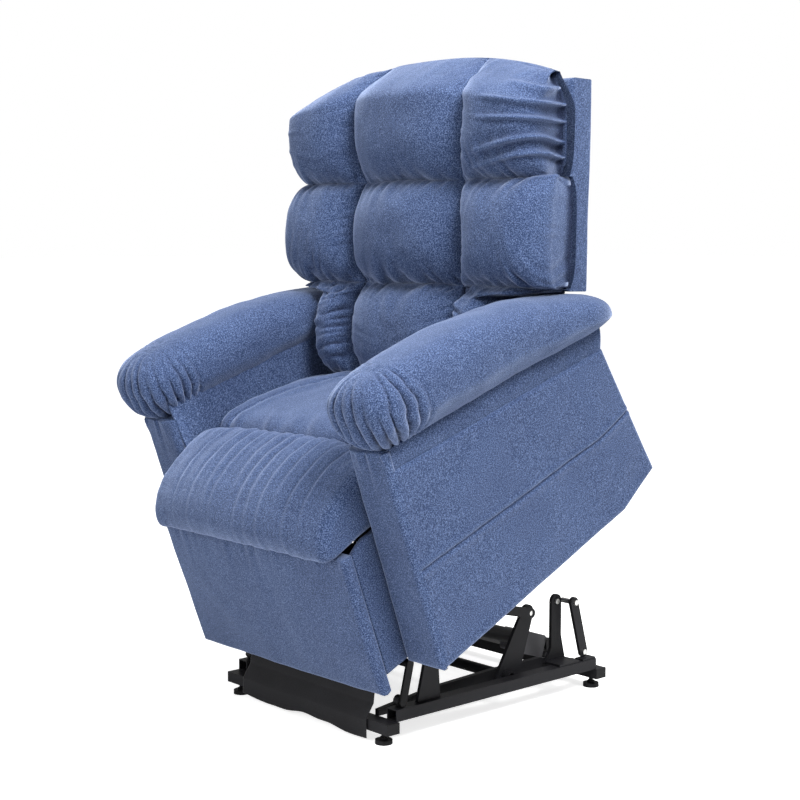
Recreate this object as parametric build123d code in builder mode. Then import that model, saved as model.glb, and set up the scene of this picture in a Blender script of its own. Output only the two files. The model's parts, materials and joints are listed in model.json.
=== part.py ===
from build123d import *
import math
import os

os.makedirs("parts", exist_ok=True)

# Lift recliner chair, millimetres. +Z up, the sitter faces -Y, +X is the sitter's left.
# The chair is modelled tilted forward at the top of its lift, resting on four feet.
# The base is drawn in its own side view: y from the middle of the feet, z from the floor.
# The upholstered chair is drawn in its seated side view, from the side panel's lower front corner.
# The back is drawn in a third side view, from the recline hinge, with its second axis up the back.

# ---- Driving dimensions ----
DATUM_Y = 96.913          # middle of the feet, behind the middle of the whole object
TILT = 25.7               # how far the lift tips the chair forward
CHAIR_FRONT = (-300, 182)  # side panel's lower front corner in the base's side view, lifted
BACK_LEAN = -1.1          # lean of the lifted back from upright
HINGE = (590, 185)        # recline hinge in the chair's side view

# Base
FOOT_X = 244
FOOT_Y = 317
FOOT_PAD_RADIUS = 18
FOOT_PAD_HEIGHT = 9
FOOT_STEM_RADIUS = 5
TUBE_HALF_LENGTH = 272
TUBE_DEPTH = 32
TUBE_HEIGHT = 23
TUBE_BOTTOM = 24
TUBE_TOP = TUBE_BOTTOM + TUBE_HEIGHT
WALL = 2
CAP_THICKNESS = 3
RAIL_INNER = 240
RAIL_OUTER = 270
RAIL_TOP = 72
RAIL_MIDDLE = (RAIL_INNER + RAIL_OUTER) / 2
ARM_PIVOT = (-195, 172)   # lift arm pivot on the front bracket
POST_TIP = (131, 197)     # stabiliser arm pivot on the post
TOWER_TOP = (220, 210)
STAY_TOP = (250, 207)
STAY_FOOT = (283, 88)
CROSS_TUBE = (60, 66)
FRONT_BAR = (-262, 160)
LIFT_CLEVIS = (292, 82)
PIN_RADIUS = 6
PIN_FIT = 0.05
TUBE_RADIUS = 12

# Lift arms, in the base's side view while lifted
CHAIR_PIVOT = (342, 30.9)  # in the chair's side view
LIFT_LEVER = 70
ARM_X = 236
ARM_THICKNESS = 10
ARM_WIDTH = 30
STABILISER_X = 226
STABILISER_THICKNESS = 6
STABILISER_LENGTH = 295
STABILISER_ANGLE = 166     # raised, from the post's tip
GUIDE_X = 214
GUIDE_SLOT = (137.4, 19.5)  # middle of the chair's guide slot, in its side view
GUIDE_SLOT_RUN = 63
GUIDE_SLOT_WIDTH = 17
GUIDE_SLOT_ANGLE = -5.4
LIFT_ACTUATOR_X = 110

# Chair
SEAT_HALF = 290
FRAME_X = 262
FRAME_THICKNESS = 20
ARM_INNER = 300
SIDE_OUTER = 410
PANEL = 14
ROLL_INNER = 280
ROLL_OUTER = 460
SIDE_OUTLINE = [(0, 0), (593, 0), (716, 35), (674, 356), (47, 429)]
ROLL_OUTLINE = [
    (24, 505), (30, 590), (60, 608), (155, 614), (333, 594), (500, 555),
    (667, 488), (735, 436), (721, 398), (640, 406), (335, 436), (60, 466),
]

# Back, from the recline hinge
BACK_REAR = -17
BACK_FRONT = -87
WING_BOTTOM = 300
WING_TOP = 750
WING_HALF = 380
WAIST_HALF = 274
PILLOW_FRONT = -205
ROWS = {"upper": (545, 800), "middle": (325, 535), "lower": (110, 315)}

# Legrest
LEGREST_HINGE = (-42, 222)
LEGREST_HALF = 308


def base_side(x):
    """The base's side view at a distance x from the middle."""
    return Plane(origin=(x, DATUM_Y, 0), x_dir=(0, 1, 0), z_dir=(1, 0, 0))


def tipped(origin, angle, x):
    """A side view through origin (y, z), turned by angle about X."""
    along = (0, math.cos(math.radians(angle)), math.sin(math.radians(angle)))
    return Plane(origin=(x, origin[0], origin[1]), x_dir=along, z_dir=(1, 0, 0))


CHAIR_ORIGIN = (CHAIR_FRONT[0] + DATUM_Y, CHAIR_FRONT[1])


def chair_side(x):
    """The seated chair's side view at a distance x from the middle."""
    return tipped(CHAIR_ORIGIN, TILT, x)


def world(plane_point):
    """A point of the chair's side view in the part's own frame, as (y, z)."""
    place = chair_side(0).from_local_coords((plane_point[0], plane_point[1], 0))
    return (place.Y, place.Z)


def back_side(x):
    """The back's side view, from the recline hinge."""
    return tipped(world(HINGE), BACK_LEAN, x)


def mirrored(inner, thickness):
    """The lower x of a plate on each side of the chair that starts at inner."""
    return (inner, -inner - thickness)


def plate(plane, outline, thickness):
    """A flat plate with a straight-sided outline."""
    with BuildSketch(plane) as profile:
        with BuildLine():
            Polyline(*outline, close=True)
        make_face()
    extrude(profile.sketch, amount=thickness)


def block(plane, low, high, thickness, mode=Mode.ADD):
    """A rectangular block, or a square hole, between two corners of a side view."""
    with BuildSketch(plane) as profile:
        with Locations(((low[0] + high[0]) / 2, (low[1] + high[1]) / 2)):
            Rectangle(high[0] - low[0], high[1] - low[1])
    extrude(profile.sketch, amount=thickness, mode=mode)


def rounded_block(plane, low, high, radius, thickness):
    """A block between two corners of a side view, with its four long edges rounded."""
    with BuildSketch(plane) as profile:
        with Locations(((low[0] + high[0]) / 2, (low[1] + high[1]) / 2)):
            RectangleRounded(high[0] - low[0], high[1] - low[1], radius)
    extrude(profile.sketch, amount=thickness)


def rod(plane, centre, radius, length, mode=Mode.ADD):
    """A round bar, or a round hole, square to a side view."""
    with BuildSketch(plane) as profile:
        with Locations(centre):
            Circle(radius)
    extrude(profile.sketch, amount=length, mode=mode)


def tube(plane, centre, radius, length):
    """A round tube square to a side view."""
    with BuildSketch(plane) as profile:
        with Locations(centre):
            Circle(radius)
            Circle(radius - WALL, mode=Mode.SUBTRACT)
    extrude(profile.sketch, amount=length)


def bar(plane, start, end, width, thickness, holes=True):
    """A flat link with round ends and a pin hole at each end."""
    length = math.dist(start, end)
    middle = ((start[0] + end[0]) / 2, (start[1] + end[1]) / 2)
    turn = math.degrees(math.atan2(end[1] - start[1], end[0] - start[0]))
    with BuildSketch(plane) as profile:
        with Locations(middle):
            SlotCenterToCenter(length, width, rotation=turn)
        if holes:
            with Locations(start, end):
                Circle(PIN_RADIUS + PIN_FIT, mode=Mode.SUBTRACT)
    extrude(profile.sketch, amount=thickness)


def along(start, end, distance):
    """The point a distance along the line from start to end."""
    share = distance / math.dist(start, end)
    return (start[0] + (end[0] - start[0]) * share, start[1] + (end[1] - start[1]) * share)


def turned(centre, radius, angle):
    """The point at a radius and an angle from a centre."""
    return (
        centre[0] + radius * math.cos(math.radians(angle)),
        centre[1] + radius * math.sin(math.radians(angle)),
    )


def finish(part, label):
    """Name a finished piece and write it."""
    part.part.label = label
    export_step(part.part, "parts/" + label + ".step")


def in_base(point):
    """A point of the chair's side view in the base's side view."""
    place = world(point)
    return (place[0] - DATUM_Y, place[1])


# ---- Base ----
for name, y in (("base_front_tube", -FOOT_Y), ("base_rear_tube", FOOT_Y)):
    with BuildPart() as cross_tube:
        with BuildSketch(base_side(-TUBE_HALF_LENGTH)):
            with Locations((y, TUBE_BOTTOM + TUBE_HEIGHT / 2)):
                Rectangle(TUBE_DEPTH, TUBE_HEIGHT)
                Rectangle(TUBE_DEPTH - 2 * WALL, TUBE_HEIGHT - 2 * WALL, mode=Mode.SUBTRACT)
        extrude(amount=2 * TUBE_HALF_LENGTH)
        for x in (-FOOT_X, FOOT_X):
            with BuildSketch(Plane.XY.offset(TUBE_BOTTOM)):
                with Locations((x, y + DATUM_Y)):
                    Circle(FOOT_STEM_RADIUS)
            extrude(amount=WALL, mode=Mode.SUBTRACT)
    finish(cross_tube, name)

with BuildPart() as tube_end_caps:
    for y in (-FOOT_Y, FOOT_Y):
        for x in (-TUBE_HALF_LENGTH - CAP_THICKNESS, TUBE_HALF_LENGTH):
            block(
                base_side(x),
                (y - TUBE_DEPTH / 2, TUBE_BOTTOM),
                (y + TUBE_DEPTH / 2, TUBE_TOP),
                CAP_THICKNESS,
            )
finish(tube_end_caps, "tube_end_caps")

with BuildPart() as levelling_feet:
    for y in (-FOOT_Y, FOOT_Y):
        for x in (-FOOT_X, FOOT_X):
            with BuildSketch(Plane.XY):
                with Locations((x, y + DATUM_Y)):
                    Circle(FOOT_PAD_RADIUS)
            extrude(amount=FOOT_PAD_HEIGHT)
            with BuildSketch(Plane.XY.offset(FOOT_PAD_HEIGHT)):
                with Locations((x, y + DATUM_Y)):
                    Circle(FOOT_STEM_RADIUS)
            extrude(amount=TUBE_BOTTOM + WALL - FOOT_PAD_HEIGHT)
            with BuildSketch(Plane.XY.offset(FOOT_PAD_HEIGHT)):
                with Locations((x, y + DATUM_Y)):
                    RegularPolygon(FOOT_STEM_RADIUS + 4, 6)
            extrude(amount=5)
finish(levelling_feet, "levelling_feet")

RAIL_HALF = 305
with BuildPart() as base_side_rails:
    for x in mirrored(RAIL_INNER, RAIL_OUTER - RAIL_INNER):
        with BuildSketch(Plane.XZ.offset(RAIL_HALF - DATUM_Y)):
            with Locations((x + (RAIL_OUTER - RAIL_INNER) / 2, (TUBE_TOP + RAIL_TOP) / 2)):
                Rectangle(RAIL_OUTER - RAIL_INNER, RAIL_TOP - TUBE_TOP)
                Rectangle(
                    RAIL_OUTER - RAIL_INNER - 2 * WALL,
                    RAIL_TOP - TUBE_TOP - 2 * WALL,
                    mode=Mode.SUBTRACT,
                )
        extrude(amount=-2 * RAIL_HALF)
finish(base_side_rails, "base_side_rails")

BRACKET_X = 250
BRACKET_THICKNESS = 8
with BuildPart() as front_brackets:
    for x in mirrored(BRACKET_X, BRACKET_THICKNESS):
        plate(base_side(x), [(-236, RAIL_TOP), (-172, RAIL_TOP), (-179, 172), (-211, 172)], BRACKET_THICKNESS)
        rod(base_side(x), ARM_PIVOT, 17, BRACKET_THICKNESS)
        rod(base_side(x), ARM_PIVOT, PIN_RADIUS + PIN_FIT, BRACKET_THICKNESS, Mode.SUBTRACT)
finish(front_brackets, "front_brackets")

STRUT_X = 259
with BuildPart() as front_struts:
    for x in mirrored(STRUT_X, 6):
        bar(base_side(x), (-281, 82), FRONT_BAR, 18, 6, holes=False)
    for x in mirrored(245, 14):
        rod(base_side(x), (-281, 84), 12, 14)
    tube(base_side(-STRUT_X), FRONT_BAR, 9, 2 * STRUT_X)
finish(front_struts, "front_struts")

LOWER_BAR_X = 200
LOWER_BAR_THICKNESS = 12
LOWER_BAR_OUTLINE = [
    (-302, TUBE_TOP), (-150, TUBE_TOP), (20, 52), (170, 56), (302, TUBE_TOP), (302, 60),
    (181, 84), (26, 84), (-146, 78), (-302, 60),
]
with BuildPart() as lower_bars:
    for x in mirrored(LOWER_BAR_X, LOWER_BAR_THICKNESS):
        plate(base_side(x), LOWER_BAR_OUTLINE, LOWER_BAR_THICKNESS)
        rod(base_side(x), CROSS_TUBE, TUBE_RADIUS, LOWER_BAR_THICKNESS, Mode.SUBTRACT)
finish(lower_bars, "lower_bars")

with BuildPart() as base_cross_tube:
    tube(base_side(-RAIL_INNER), CROSS_TUBE, TUBE_RADIUS, 2 * RAIL_INNER)
finish(base_cross_tube, "base_cross_tube")

POST_X = 212
POST_THICKNESS = 8
POST_TIP_RADIUS = 18
with BuildPart() as posts:
    for x in mirrored(POST_X, POST_THICKNESS):
        plate(
            base_side(x),
            [(26, 56), (102, 56), (149, 194), (114, 204)],
            POST_THICKNESS,
        )
        rod(base_side(x), POST_TIP, POST_TIP_RADIUS, POST_THICKNESS)
        rod(base_side(x), POST_TIP, PIN_RADIUS + PIN_FIT, POST_THICKNESS, Mode.SUBTRACT)
        rod(base_side(x), CROSS_TUBE, TUBE_RADIUS, POST_THICKNESS, Mode.SUBTRACT)
finish(posts, "posts")

TOWER_X = 216
TOWER_THICKNESS = 8
with BuildPart() as rear_towers:
    for x in mirrored(TOWER_X, TOWER_THICKNESS):
        plate(
            base_side(x),
            [(185, RAIL_TOP), (250, RAIL_TOP), (236, 130), (236, 210), (204, 210), (204, 105)],
            TOWER_THICKNESS,
        )
        rod(base_side(x), TOWER_TOP, 16, TOWER_THICKNESS)
        rod(base_side(x), TOWER_TOP, PIN_RADIUS, TOWER_THICKNESS, Mode.SUBTRACT)
    for x in mirrored(TOWER_X + TOWER_THICKNESS, 44):
        block(base_side(x), (185, RAIL_TOP), (250, RAIL_TOP + 5), 44)
finish(rear_towers, "rear_towers")

STAY_X = 244
with BuildPart() as rear_stays:
    for x in mirrored(STAY_X, 8):
        bar(base_side(x), STAY_FOOT, STAY_TOP, 24, 8)
    for x in mirrored(STAY_X, 24):
        block(base_side(x), (262, RAIL_TOP), (304, RAIL_TOP + 4), 24)
finish(rear_stays, "rear_stays")

with BuildPart() as base_bolts:
    for x in mirrored(STAY_X - 30, 44):
        rod(base_side(x), STAY_TOP, PIN_RADIUS, 44)
    for x in mirrored(STAY_X - 2, 14):
        rod(base_side(x), STAY_FOOT, PIN_RADIUS, 14)
    for x in mirrored(TOWER_X - 8, 20):
        rod(base_side(x), TOWER_TOP, PIN_RADIUS, 20)
    for x in mirrored(POST_X - 6, 24):
        rod(base_side(x), POST_TIP, PIN_RADIUS, 24)
    for x in mirrored(ARM_X - 2, 27):
        rod(base_side(x), ARM_PIVOT, PIN_RADIUS, 27)
finish(base_bolts, "base_bolts")

with BuildPart() as lift_clevis:
    for x in (LIFT_ACTUATOR_X - 26, LIFT_ACTUATOR_X + 20):
        plate(base_side(x), [(301, TUBE_TOP), (333, TUBE_TOP), (302, 94), (282, 94), (282, 70)], 6)
        rod(base_side(x), LIFT_CLEVIS, PIN_RADIUS, 6, Mode.SUBTRACT)
    rod(base_side(LIFT_ACTUATOR_X - 26), LIFT_CLEVIS, PIN_RADIUS, 52)
finish(lift_clevis, "lift_clevis")

# The kick skirt: black cloth on a thin board, screwed to the front tube, leaning back above it.
SKIRT_HALF = 250
SKIRT_FACE = [(-336, 14), (-336, 46), (-314, 76), (-309, 134)]
SKIRT_BACK = [(-306.5, 134), (-311.5, 76), (-333.4, 47.2), (-333.4, 14)]
with BuildPart() as front_skirt:
    plate(base_side(-SKIRT_HALF), SKIRT_FACE + SKIRT_BACK, 2 * SKIRT_HALF)
finish(front_skirt, "front_skirt")

# ---- Lift arms ----
CHAIR_PIVOT_LIFTED = in_base(CHAIR_PIVOT)
ARM_ANGLE = math.degrees(
    math.atan2(CHAIR_PIVOT_LIFTED[1] - ARM_PIVOT[1], CHAIR_PIVOT_LIFTED[0] - ARM_PIVOT[0])
)
LEVER_END = turned(ARM_PIVOT, LIFT_LEVER, ARM_ANGLE)
with BuildPart() as lift_arms:
    for x in mirrored(ARM_X, ARM_THICKNESS):
        bar(base_side(x), ARM_PIVOT, CHAIR_PIVOT_LIFTED, ARM_WIDTH, ARM_THICKNESS)
finish(lift_arms, "lift_arms")

LEVER_TUBE_RADIUS = 14
with BuildPart() as lift_torque_tube:
    tube(base_side(-ARM_X + 4), ARM_PIVOT, LEVER_TUBE_RADIUS, 2 * ARM_X - 8)
    for x in (ARM_X - 4, -ARM_X):
        rod(base_side(x), ARM_PIVOT, LEVER_TUBE_RADIUS, 4)
        rod(base_side(x), ARM_PIVOT, PIN_RADIUS + PIN_FIT, 4, Mode.SUBTRACT)
finish(lift_torque_tube, "lift_torque_tube")

with BuildPart() as lift_levers:
    for x in (LIFT_ACTUATOR_X - 26, LIFT_ACTUATOR_X + 18):
        bar(base_side(x), ARM_PIVOT, LEVER_END, 26, 8, holes=False)
        rod(base_side(x), ARM_PIVOT, LEVER_TUBE_RADIUS, 8, Mode.SUBTRACT)
    rod(base_side(LIFT_ACTUATOR_X - 18), LEVER_END, PIN_RADIUS, 36)
finish(lift_levers, "lift_levers")

# ---- Stabiliser arms, each with a pin that rides in a slot of the chair's guide plate ----
STABILISER_END = turned(POST_TIP, STABILISER_LENGTH, STABILISER_ANGLE)
with BuildPart() as stabiliser_arms:
    for x in mirrored(STABILISER_X, STABILISER_THICKNESS):
        bar(base_side(x), POST_TIP, STABILISER_END, 22, STABILISER_THICKNESS, holes=False)
        rod(base_side(x), POST_TIP, PIN_RADIUS + PIN_FIT, STABILISER_THICKNESS, Mode.SUBTRACT)
    for x in mirrored(GUIDE_X - 2, STABILISER_X - GUIDE_X + 2):
        rod(base_side(x), STABILISER_END, PIN_RADIUS, STABILISER_X - GUIDE_X + 2)
finish(stabiliser_arms, "stabiliser_arms")

# ---- Lift actuator ----
ACTUATOR_ANGLE = math.degrees(
    math.atan2(LEVER_END[1] - LIFT_CLEVIS[1], LEVER_END[0] - LIFT_CLEVIS[0])
)
ACTUATOR_PLANE_ORIGIN = (LIFT_CLEVIS[0] + DATUM_Y, LIFT_CLEVIS[1])


def actuator_side(x):
    """The lift actuator's side view, from its rear pin, with its first axis along the rod."""
    return tipped(ACTUATOR_PLANE_ORIGIN, ACTUATOR_ANGLE, x)


ACTUATOR_TUBE_END = 320
ROD_RADIUS = 10
with BuildPart() as lift_motor:
    rod(actuator_side(LIFT_ACTUATOR_X - 19), (0, 0), 14, 38)
    block(actuator_side(LIFT_ACTUATOR_X - 19), (8, -14), (70, 14), 38)
    rounded_block(actuator_side(LIFT_ACTUATOR_X - 34), (24, -18), (100, 34), 8, 68)
    rod(actuator_side(LIFT_ACTUATOR_X - 19), (0, 0), PIN_RADIUS + PIN_FIT, 38, Mode.SUBTRACT)
finish(lift_motor, "lift_motor")

TUBE_PLANE = Plane(
    origin=actuator_side(LIFT_ACTUATOR_X).from_local_coords((100, 0, 0)),
    z_dir=actuator_side(0).x_dir,
)
with BuildPart() as lift_actuator_tube:
    with BuildSketch(TUBE_PLANE):
        Circle(17)
        Circle(ROD_RADIUS + PIN_FIT, mode=Mode.SUBTRACT)
    extrude(amount=ACTUATOR_TUBE_END - 100)
finish(lift_actuator_tube, "lift_actuator_tube")

ROD_LENGTH = math.dist(LIFT_CLEVIS, LEVER_END)
LIFT_EYE_OFFSET = (-4.85, -2.9)  # the eye's window, which the lever's pin moves about in
with BuildPart() as lift_actuator_rod:
    with BuildSketch(TUBE_PLANE.offset(60)):
        Circle(ROD_RADIUS)
    extrude(amount=ROD_LENGTH - 100 - 60 - 22)
    with BuildSketch(actuator_side(LIFT_ACTUATOR_X - 8)):
        with Locations((ROD_LENGTH + LIFT_EYE_OFFSET[0], LIFT_EYE_OFFSET[1])):
            RectangleRounded(40, 36, 12)
            RectangleRounded(24, 20, 6.5, mode=Mode.SUBTRACT)
    extrude(amount=16)
finish(lift_actuator_rod, "lift_actuator_rod")

# ---- Seat frame ----
FRONT_UPRIGHT = (40, 64)
REAR_UPRIGHT = (600, 624)
REAR_RAIL = (488, 512)
GUIDE_THICKNESS = 8
GUIDE_OUTLINE = [(93.5, 6), (184, 2), (184, 34), (160, 38), (160, 276), (126, 276), (126, 38), (93.5, 38)]
with BuildPart() as seat_frame:
    for x in mirrored(FRAME_X, FRAME_THICKNESS):
        block(chair_side(x), (24, 12), (640, 46), FRAME_THICKNESS)
        rod(chair_side(x), CHAIR_PIVOT, PIN_RADIUS, FRAME_THICKNESS, Mode.SUBTRACT)
        for low, high in (FRONT_UPRIGHT, REAR_UPRIGHT):
            block(chair_side(x), (low, 46), (high, 276), FRAME_THICKNESS)
        block(chair_side(x), (40, 252), (624, 276), FRAME_THICKNESS)
    for low, high in (FRONT_UPRIGHT, REAR_RAIL):
        block(chair_side(-FRAME_X), (low, 252), (high, 276), 2 * FRAME_X)
    for x in mirrored(GUIDE_X, GUIDE_THICKNESS):
        plate(chair_side(x), GUIDE_OUTLINE, GUIDE_THICKNESS)
        with BuildSketch(chair_side(x)):
            with Locations(GUIDE_SLOT):
                SlotCenterToCenter(GUIDE_SLOT_RUN, GUIDE_SLOT_WIDTH, rotation=GUIDE_SLOT_ANGLE)
        extrude(amount=GUIDE_THICKNESS, mode=Mode.SUBTRACT)
    for x in mirrored(GUIDE_X + GUIDE_THICKNESS, FRAME_X - GUIDE_X - GUIDE_THICKNESS):
        block(chair_side(x), (130, 252), (156, 276), FRAME_X - GUIDE_X - GUIDE_THICKNESS)
finish(seat_frame, "seat_frame")

with BuildPart() as seat_pivot_pins:
    for x in mirrored(ARM_X - 2, FRAME_X + FRAME_THICKNESS - ARM_X + 2):
        rod(chair_side(x), CHAIR_PIVOT, PIN_RADIUS, FRAME_X + FRAME_THICKNESS - ARM_X + 2)
finish(seat_pivot_pins, "seat_pivot_pins")

SPRING_COUNT = 5
SPRING_PITCH = 96
SPRING_RADIUS = 2.5
SPRING_STEP = 37
SPRING_SWAY = 18
SPRING_TURNS = 12
with BuildPart() as seat_springs:
    for index in range(SPRING_COUNT):
        x = (index - (SPRING_COUNT - 1) / 2) * SPRING_PITCH
        view = chair_side(x)
        turns = [
            view.from_local_coords((56 + step * SPRING_STEP, 281, SPRING_SWAY if step % 2 else -SPRING_SWAY))
            for step in range(SPRING_TURNS + 1)
        ]
        for start, end in zip(turns, turns[1:]):
            rod(Plane(origin=start, z_dir=end - start), (0, 0), SPRING_RADIUS, (end - start).length)
        for bend in turns:
            with Locations(bend):
                Sphere(SPRING_RADIUS)
finish(seat_springs, "seat_springs")

with BuildPart() as seat_box:
    for x in mirrored(284.5, 13):
        plate(chair_side(x), [(-26, 4), (640, 4), (660, 60), (640, 285), (4, 285)], 13)
    block(chair_side(-FRAME_X + 2), (645, 30), (660, 150), 2 * FRAME_X - 4)
finish(seat_box, "seat_box")

with BuildPart() as seat_cushion:
    plate(
        chair_side(-SEAT_HALF),
        [(150, 288), (508, 288), (494, 338), (444, 366), (410, 388), (280, 408), (170, 412), (140, 380)],
        2 * SEAT_HALF,
    )
finish(seat_cushion, "seat_cushion")

with BuildPart() as seat_front_pad:
    with BuildSketch(chair_side(-SEAT_HALF)):
        with BuildLine():
            Polyline((136, 288), (-60, 288), (-84, 300))
            Spline((-84, 300), (-66, 352), (10, 396), (90, 414), (140, 410))
            Polyline((140, 410), (126, 370), (136, 288))
        make_face()
    extrude(amount=2 * SEAT_HALF)
finish(seat_front_pad, "seat_front_pad")

# ---- Arms ----
SIDES = {"left": 1, "right": -1}


def side_x(side, inner, thickness):
    """The lower x of a plate on one side of the chair."""
    return inner if side > 0 else -inner - thickness


for side_name, side in SIDES.items():
    with BuildPart() as arm_side_panel:
        plate(chair_side(side_x(side, SIDE_OUTER - PANEL, PANEL)), SIDE_OUTLINE, PANEL)
    finish(arm_side_panel, side_name + "_side_panel")

    with BuildPart() as arm_front_panel:
        span = SIDE_OUTER - PANEL - ARM_INNER - 0.4
        plate(
            chair_side(side_x(side, ARM_INNER + 0.2, span)),
            [(0, 0), (14, 0), (62, 440), (48, 440)],
            span,
        )
    finish(arm_front_panel, side_name + "_arm_front")

    with BuildPart() as arm_frame:
        plate(
            chair_side(side_x(side, ARM_INNER, PANEL)),
            [(16, 4), (640, 4), (700, 60), (668, 352), (64, 428)],
            PANEL,
        )
        inner_span = SIDE_OUTER - 2 * PANEL - ARM_INNER - 0.4
        plate(
            chair_side(side_x(side, ARM_INNER + PANEL, inner_span)),
            [(66, 412), (668, 338), (668, 352), (66, 428)],
            inner_span,
        )
    finish(arm_frame, side_name + "_arm_frame")

    with BuildPart() as arm_roll:
        plate(chair_side(side_x(side, ROLL_INNER, ROLL_OUTER - ROLL_INNER)), ROLL_OUTLINE, ROLL_OUTER - ROLL_INNER)
        chamfer(arm_roll.edges().group_by(Axis.Z)[-1], 20)
    finish(arm_roll, side_name + "_arm_roll")

with BuildPart() as arm_top_boards:
    for x in mirrored(ARM_INNER + 10, SIDE_OUTER - ARM_INNER - 16):
        plate(
            chair_side(x),
            [(68, 430.5), (668, 358), (690, 396), (640, 402), (335, 432), (68, 461)],
            SIDE_OUTER - ARM_INNER - 16,
        )
finish(arm_top_boards, "arm_top_boards")

# ---- Recline hinge and actuator ----
BRACKET_INNER = 250
with BuildPart() as recline_brackets:
    for x in mirrored(BRACKET_INNER, FRAME_X - BRACKET_INNER):
        plate(chair_side(x), [(574, 185), (590, 169), (624, 169), (624, 250), (606, 250)], FRAME_X - BRACKET_INNER)
        rod(chair_side(x), HINGE, 16, FRAME_X - BRACKET_INNER)
    for x in mirrored(BRACKET_INNER - 12, 16):
        rod(chair_side(x), HINGE, PIN_RADIUS, 16)
finish(recline_brackets, "recline_brackets")

RECLINE_X = -80
RECLINE_PIVOT = (230, 160)
RECLINE_LEVER = (570, 95)
RECLINE_ANGLE = math.degrees(
    math.atan2(RECLINE_LEVER[1] - RECLINE_PIVOT[1], RECLINE_LEVER[0] - RECLINE_PIVOT[0])
)


def recline_side(x):
    """The recline actuator's side view, from its front pin."""
    return tipped(world(RECLINE_PIVOT), TILT + RECLINE_ANGLE, x)


with BuildPart() as recline_hanger:
    for x in (RECLINE_X - 26, RECLINE_X + 20):
        plate(chair_side(x), [(212, 160), (248, 160), (262, 262), (198, 262)], 6)
        rod(chair_side(x), RECLINE_PIVOT, 18, 6)
        rod(chair_side(x), RECLINE_PIVOT, PIN_RADIUS, 6, Mode.SUBTRACT)
    rod(chair_side(RECLINE_X - 26), RECLINE_PIVOT, PIN_RADIUS, 52)
    block(chair_side(-FRAME_X), (198, 262), (262, 270), 2 * FRAME_X)
finish(recline_hanger, "recline_hanger")

RECLINE_LENGTH = math.dist(RECLINE_PIVOT, RECLINE_LEVER)
RECLINE_TUBE_PLANE = Plane(
    origin=recline_side(RECLINE_X).from_local_coords((90, 0, 0)),
    z_dir=recline_side(0).x_dir,
)
with BuildPart() as recline_motor:
    rod(recline_side(RECLINE_X - 19), (0, 0), 14, 38)
    block(recline_side(RECLINE_X - 19), (8, -14), (60, 14), 38)
    rounded_block(recline_side(RECLINE_X - 30), (24, -18), (90, 40), 8, 60)
    rod(recline_side(RECLINE_X - 19), (0, 0), PIN_RADIUS + PIN_FIT, 38, Mode.SUBTRACT)
    with BuildSketch(RECLINE_TUBE_PLANE):
        Circle(15)
        Circle(ROD_RADIUS - 2 + PIN_FIT, mode=Mode.SUBTRACT)
    extrude(amount=150)
finish(recline_motor, "recline_motor")

with BuildPart() as recline_rod:
    with BuildSketch(RECLINE_TUBE_PLANE.offset(70)):
        Circle(ROD_RADIUS - 2)
    extrude(amount=RECLINE_LENGTH - 90 - 70 - 14)
    with BuildSketch(recline_side(RECLINE_X - 8)):
        with Locations((RECLINE_LENGTH, 0)):
            SlotCenterToCenter(18, 30, rotation=90)
            SlotCenterToCenter(18, 2 * PIN_RADIUS + 1, rotation=90, mode=Mode.SUBTRACT)
    extrude(amount=16)
finish(recline_rod, "recline_rod")

with BuildPart() as control_box:
    rounded_block(chair_side(60), (300, 206), (460, 250), 6, 100)
finish(control_box, "control_box")

# ---- Back ----
HINGE_ARM_X = 241
with BuildPart() as back_hinge_arms:
    for x in mirrored(HINGE_ARM_X, 7):
        plate(back_side(x), [(-80, 24), (-40, -12), (0, -16), (12, 10), (-42, 70), (-42, 130), (-80, 130)], 7)
        rod(back_side(x), (0, 0), 16, 7)
        rod(back_side(x), (0, 0), PIN_RADIUS + PIN_FIT, 7, Mode.SUBTRACT)
finish(back_hinge_arms, "back_hinge_arms")

FRAME_BAR = 34
with BuildPart() as back_frame:
    for x in mirrored(HINGE_ARM_X - 26, 26):
        block(back_side(x), (-80, 24), (-80 + FRAME_BAR, WING_BOTTOM + 8), 26)
    for low in (24, 250):
        block(back_side(-HINGE_ARM_X + 26), (-80, low), (-80 + FRAME_BAR, low + 30), 2 * HINGE_ARM_X - 52)
finish(back_frame, "back_frame")

LEVER_IN_BACK = (-20 * math.cos(math.radians(TILT - BACK_LEAN)) + 90 * -math.sin(math.radians(TILT - BACK_LEAN)),
                 -20 * math.sin(math.radians(TILT - BACK_LEAN)) - 90 * math.cos(math.radians(TILT - BACK_LEAN)))
with BuildPart() as recline_lever:
    for x in (RECLINE_X - 24, RECLINE_X + 16):
        plate(
            back_side(x),
            [(-80, 24), (-52, 24), (LEVER_IN_BACK[0] + 14, LEVER_IN_BACK[1]), (LEVER_IN_BACK[0] - 14, LEVER_IN_BACK[1])],
            8,
        )
        rod(back_side(x), LEVER_IN_BACK, 14, 8)
    rod(back_side(RECLINE_X - 24), LEVER_IN_BACK, PIN_RADIUS, 48)
finish(recline_lever, "recline_lever")

with BuildPart() as back_shell:
    block(back_side(-WING_HALF), (BACK_FRONT, WING_BOTTOM + 8), (BACK_REAR, WING_TOP), 2 * WING_HALF)
    block(back_side(-WAIST_HALF + 6), (-40, 100), (-17, WING_BOTTOM + 8), 2 * WAIST_HALF - 12)
finish(back_shell, "back_shell")

for row, (low, high) in ROWS.items():
    outer = WAIST_HALF if row == "lower" else 412
    spans = ((-outer, -141), (-139, 139), (141, outer))
    with BuildPart() as pillows:
        for start, end in spans:
            block(back_side(start), (PILLOW_FRONT, low), (BACK_FRONT - 0.5, high), end - start)
    finish(pillows, "back_pillows_" + row)

# ---- Legrest ----
TRACK_X = 176
SLIDE_X = 192.5
with BuildPart() as legrest_tracks:
    for x in mirrored(TRACK_X, 16):
        block(chair_side(x), (64, 214), (330, 252), 16)
finish(legrest_tracks, "legrest_tracks")

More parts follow.
